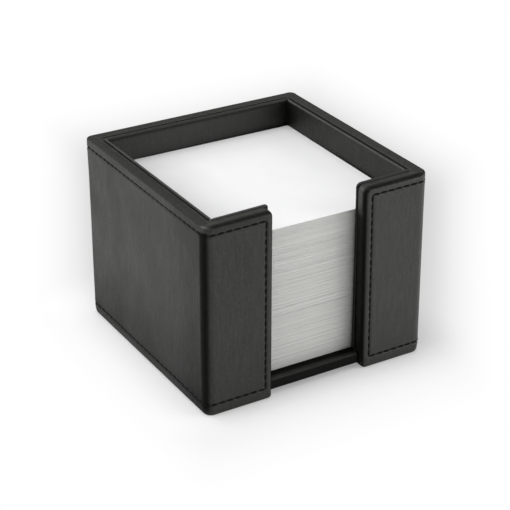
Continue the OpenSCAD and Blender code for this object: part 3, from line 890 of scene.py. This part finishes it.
def build_thread():
    """A short length of thread for each stitch. It rises out of one hole, lies in the groove and
    dives into the next."""
    rnd = np.random.default_rng(11)
    points, faces = [], []
    sides, parts = 8, 10
    for a0, b0, step_a, step_b in stitch_rows():
        radius = THREAD_R * rnd.uniform(0.88, 1.12)
        slant = 0.07 + rnd.normal(0, 0.02)
        base = len(points)
        length = step_a + step_b
        ua, ub = step_a / length, step_b / length
        for k in range(parts + 1):
            t = k / parts
            along = 0.3 + (length - 0.6) * t
            depth = 0.55 * abs(2 * t - 1) ** 6 + 0.14
            side = slant * (2 * t - 1) * 1.6
            centre, out = surface(a0 + ua * along - ub * side, b0 + ub * along + ua * side)
            along += 0.01
            ahead, _ = surface(a0 + ua * along - ub * side, b0 + ub * along + ua * side)
            tangent = ahead - centre
            cross = np.cross(tangent / np.linalg.norm(tangent), out)
            r = radius * (0.55 + 0.45 * min(1, 4 * t, 4 * (1 - t)))
            middle = centre - out * depth
            for w in (2 * math.pi * j / sides for j in range(sides)):
                points.append(middle + r * (math.cos(w) * out + math.sin(w) * cross))
        rings = [range(base + k * sides, base + (k + 1) * sides) for k in range(parts + 1)]
        join_rings(rings, faces)
        faces.append(tuple(rings[0])[::-1])
        faces.append(tuple(rings[-1]))
    return make_object("stitching", points, faces, THREAD, sharp=70)


thread = build_thread()
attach(thread, "root")


# The note sheets: thicknesses of bundles that keep together, how often each comes, the thickness
# of one of the two top layers, and how many parts a side is cut into
BUNDLES = [0.32, 0.42, 0.55, 0.75, 1.0]
SHARES = [0.25, 0.25, 0.22, 0.18, 0.1]
SHEET_T = 0.11
SIDE_PARTS = 30


def build_stack():
    """Loose sheets: each bundle of them sticks out a little more or less than the next."""
    rnd = np.random.default_rng(23)
    co = np.array([v.co for v in nodes["note_stack"].data.vertices]) / MM
    base = co[np.abs(co[:, 2] - co[:, 2].min()) < 0.01][:, :2]
    centre = base.mean(0)
    front = base[np.argmax(base[:, 0] - base[:, 1])] - base[np.argmin(base[:, 0] + base[:, 1])]
    half = float(np.linalg.norm(front)) / 2
    turn = math.atan2(front[1], front[0])
    z0, z1 = co[:, 2].min(), co[:, 2].max()
    thick = []
    while sum(thick) < z1 - z0 - 0.9:
        thick.append(float(rnd.choice(BUNDLES, p=SHARES)) * rnd.uniform(0.8, 1.2))
    scale = (z1 - z0 - 2 * SHEET_T) / sum(thick)
    thick = [t * scale for t in thick] + [SHEET_T, SHEET_T]
    levels = z0 + np.concatenate([[0], np.cumsum(thick)])
    u = np.linspace(-1, 1, SIDE_PARTS + 1)[:-1]
    ring = np.array([(t, -1) for t in u] + [(1, t) for t in u] + [(-t, 1) for t in u]
                    + [(-1, -t) for t in u])
    phase = rnd.uniform(0, 6.28, 6)
    turn_m = np.array([[math.cos(turn), -math.sin(turn)], [math.sin(turn), math.cos(turn)]])

    def wave(z):
        """How much higher the sheets lie round their edges, most at half height."""
        t = (z - z0) / (z1 - z0)
        swell = 0.3 * max(math.sin(math.pi * t), 0) ** 0.7
        x = ring[:, 0] * 2.2 + ring[:, 1] * 1.3
        wide = np.sin(x * 1.5 + phase[0] + 2.4 * t)
        return swell * (0.6 * wide + 0.4 * np.sin(x * 3.1 + phase[1] - 3.0 * t))

    def add_ring(z, inset, shift, turned):
        c, s = math.cos(turned), math.sin(turned)
        p = ring * (half - inset) @ np.array([[c, s], [-s, c]]) + shift
        p = p @ turn_m.T + centre
        rings.append(range(len(points), len(points) + len(ring)))
        points.extend(np.column_stack([p, z + wave(z)]).tolist())

    points, faces, rings = [], [], []
    for k, (lower, upper) in enumerate(zip(levels[:-1], levels[1:])):
        top_sheet = k == len(thick) - 1
        shift, turned = np.zeros(2), 0.0
        if not top_sheet:
            shift = np.clip(rnd.normal(0, 0.05, 2), -0.12, 0.12)
            turned = float(np.clip(rnd.normal(0, 0.0007), -0.0012, 0.0012))
        inset = 0.17 + abs(rnd.normal(0, 0.05))
        if top_sheet:
            inset = 0.04
        gap = min(0.035 if rnd.random() < 0.75 else 0.07, (upper - lower) * 0.3)
        low, high = lower, upper
        if k:
            low += gap
            add_ring(low, inset + 0.22, shift, turned)
        if not top_sheet:
            high -= gap
        add_ring(low, inset, shift, turned)
        add_ring(high, inset, shift, turned)
        if not top_sheet:
            add_ring(high, inset + 0.22, shift, turned)
    join_rings(rings, faces)
    faces.append(tuple(rings[0])[::-1])
    faces.append(tuple(rings[-1]))
    return make_object("note_sheets", points, faces, PAPER, sharp=35)


sheets = build_stack()
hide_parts("note_stack")
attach(sheets, "root")


# Studio. A painted shadow darkens the ground in a halo round the object: its brightness at
# distances in millimetres outside the outline of the ground that the object stands on or hides
HALO = ((0, 0.672), (10, 0.716), (20, 0.783), (30, 0.855), (40, 0.905), (50, 0.947), (60, 0.975), (75, 1.0))
HALO_END = 80
# Each edge of that outline: outward direction, distance, weight, and how far out the painted
# shadow has faded there already
HALO_EDGES = ((-1, 0, 53, 1.65, 26), (0, -1, 53, 1.18, 20), (-0.9145, 0.4196, 72.7, 2.2, 20),
              (0.8015, -0.608, 73.5, 2.3, -3), (1, 0, 167, 1.3, 16), (0, 1, 233, 0.95, 30))
HALO_BLEND = 30
# How much the ground glows for the camera, besides what the lamps give it, before the painted shadow
FLOOR_LIFT = 0.34
# Near the object the ground shows the lamps' light and shadow, in a square given by its middle
# and half its side in metres. Past it, between two distances, that fades into a glow with the painted
# shadow
LIT_MIDDLE, LIT_HALF, LIT_FADE = (0.004, 0.006, 0), (0.05, 0.05, 0), (0.001, 0.032)
FLOOR_HALF = 6.0


def painted_shadow_round(n):
    """How bright the painted shadow leaves the ground round the object."""
    out = None
    for ex, ey, reach, weight, start in HALO_EDGES:
        inputs = {0: n.coords["Object"], 1: (ex * weight / MM, ey * weight / MM, 0)}
        here = n.math("ADD", n.vector("DOT_PRODUCT", inputs, "Value"), start - reach * weight)
        out = here if out is None else n.math("SMOOTH_MAX", out, here, HALO_BLEND)
    return n.colours(n.ramp(out, 0, 1, 0, HALO_END), [(d / HALO_END, (v, v, v)) for d, v in HALO])


def build_floor():
    n = Material("studio_floor")
    path = n.new("ShaderNodeLightPath").outputs
    plain = n.math("MAXIMUM", path["Is Camera Ray"], path["Is Transmission Ray"])
    seen = n.math("MAXIMUM", plain, path["Is Glossy Ray"])
    # A painted shadow round the object darkens the ground, for the camera only
    painted_shadow = painted_shadow_round(n)
    strength = n.math("MAXIMUM", painted_shadow, n.math("SUBTRACT", 1.0, plain))
    n.fill(n.shader, {"Base Color": n.math("MULTIPLY", strength, 0.8), "Roughness": 0.9,
                      "Specular IOR Level": 0.0})
    lift = n.math("MULTIPLY", n.math("MULTIPLY", plain, FLOOR_LIFT), painted_shadow)
    lift = n.new("ShaderNodeEmission", {"Color": WHITE, "Strength": lift}).outputs[0]
    glow = n.new("ShaderNodeEmission", {"Color": WHITE, "Strength": strength}).outputs[0]
    lit = n.new("ShaderNodeAddShader", {0: n.shader.outputs[0], 1: lift}).outputs[0]
    beyond = n.vector("ABSOLUTE", {0: n.vector("SUBTRACT", {0: n.coords["Object"], 1: LIT_MIDDLE})})
    beyond = n.vector("MAXIMUM", {0: n.vector("SUBTRACT", {0: beyond, 1: LIT_HALF}), 1: (0, 0, 0)})
    far = n.ramp(n.vector("LENGTH", {0: beyond}, "Value"), 0, 1, *LIT_FADE, "SMOOTHSTEP")
    mix = n.new("ShaderNodeMixShader", {0: n.math("MULTIPLY", far, seen), 1: lit, 2: glow})
    n.fill(n.tree.nodes["Material Output"], {"Surface": mix.outputs[0]})
    mesh = bpy.data.meshes.new("floor")
    mesh.from_pydata([(x * FLOOR_HALF, y * FLOOR_HALF, 0) for x, y in ((-1, -1), (1, -1), (1, 1), (-1, 1))],
                     [], [(0, 1, 2, 3)])
    mesh.materials.append(n.mat)
    floor = bpy.data.objects.new("floor", mesh)
    bpy.context.scene.collection.objects.link(floor)


build_floor()


def area(name, place, target, size, power):
    """A square lamp at a place, turned to a target, in metres and watts."""
    lamp = bpy.data.lights.new(name, "AREA")
    lamp.size = size
    lamp.energy = power
    obj = bpy.data.objects.new(name, lamp)
    obj.location = place
    direction = Vector(target) - Vector(place)
    obj.rotation_euler = direction.to_track_quat("-Z", "Y").to_euler()
    bpy.context.scene.collection.objects.link(obj)


area("overhead_lamp", (-0.1, 0.1, 1.15), (0, 0, 0.04), 1.0, 7.1)
area("left_lamp", (-1.05, 0.25, 0.55), (0, 0, 0.05), 0.7, 5.2)
area("right_lamp", (0.95, -0.75, 0.45), (0, 0, 0.05), 0.7, 6.1)
area("edge_lamp", (-0.46, 0.80, 0.52), (0, 0, 0.06), 0.45, 2.7)


def build_world():
    """A grey room. The camera sees it white, and reflections see it white near the horizon."""
    world = bpy.data.worlds.new("studio")
    bpy.context.scene.world = world
    world.use_nodes = True
    n = Nodes(world.node_tree)
    path = n.new("ShaderNodeLightPath").outputs
    height = n.new("ShaderNodeSeparateXYZ", {0: n.coords["Generated"]}).outputs["Z"]
    horizon = n.ramp(height, 1, 0, 0.05, 0.4, "SMOOTHSTEP")
    white = n.math("MAXIMUM", path["Is Camera Ray"], path["Is Transmission Ray"])
    white = n.math("MAXIMUM", white, n.math("MULTIPLY", path["Is Glossy Ray"], horizon))
    level = n.math("MULTIPLY", n.ramp(white, 0.3, 1), n.ramp(path["Is Glossy Ray"], 1, 0.65))
    n.fill(n.tree.nodes["Background"], {"Color": WHITE, "Strength": level})


build_world()

scene = bpy.context.scene
scene.view_settings.view_transform = "Standard"

# Camera: half the width of the picture in pixels, and the height of the point it is placed by
HALF_PICTURE = 255
AIM_Z = 45


def place_camera(az, el, roll, distance, tx, ty, focal):
    """Camera from its turn round the object, its tilt and roll in degrees, its distance in
    millimetres, the pixel of the picture at which it shows the point AIM_Z above the origin, and
    its focal length in pixels."""
    a, e, r = (math.radians(v) for v in (az, el, roll))
    back = Vector((math.sin(a) * math.cos(e), -math.cos(a) * math.cos(e), math.sin(e)))
    right = (-back).cross(Vector((0, 0, 1))).normalized()
    down = (-back).cross(right)
    row0 = math.cos(r) * right + math.sin(r) * down
    row1 = -math.sin(r) * right + math.cos(r) * down
    across, along = ((t - HALF_PICTURE) * distance / focal for t in (tx, ty))
    place = Vector((0, 0, AIM_Z)) - (row0 * across + row1 * along - back * distance)
    camera = bpy.data.cameras.new("camera")
    camera.sensor_fit = "HORIZONTAL"
    camera.angle = 2 * math.atan(HALF_PICTURE / focal)
    camera.clip_start = 0.01
    obj = bpy.data.objects.new("camera", camera)
    turn = Matrix((row0, -row1, back)).transposed().to_4x4()
    obj.matrix_world = Matrix.Translation(place * MM) @ turn
    bpy.context.scene.collection.objects.link(obj)
    scene.camera = obj


place_camera(az=-30.926, el=27.03, roll=-0.138, distance=692.8, tx=252.73, ty=239.2, focal=1606.8)
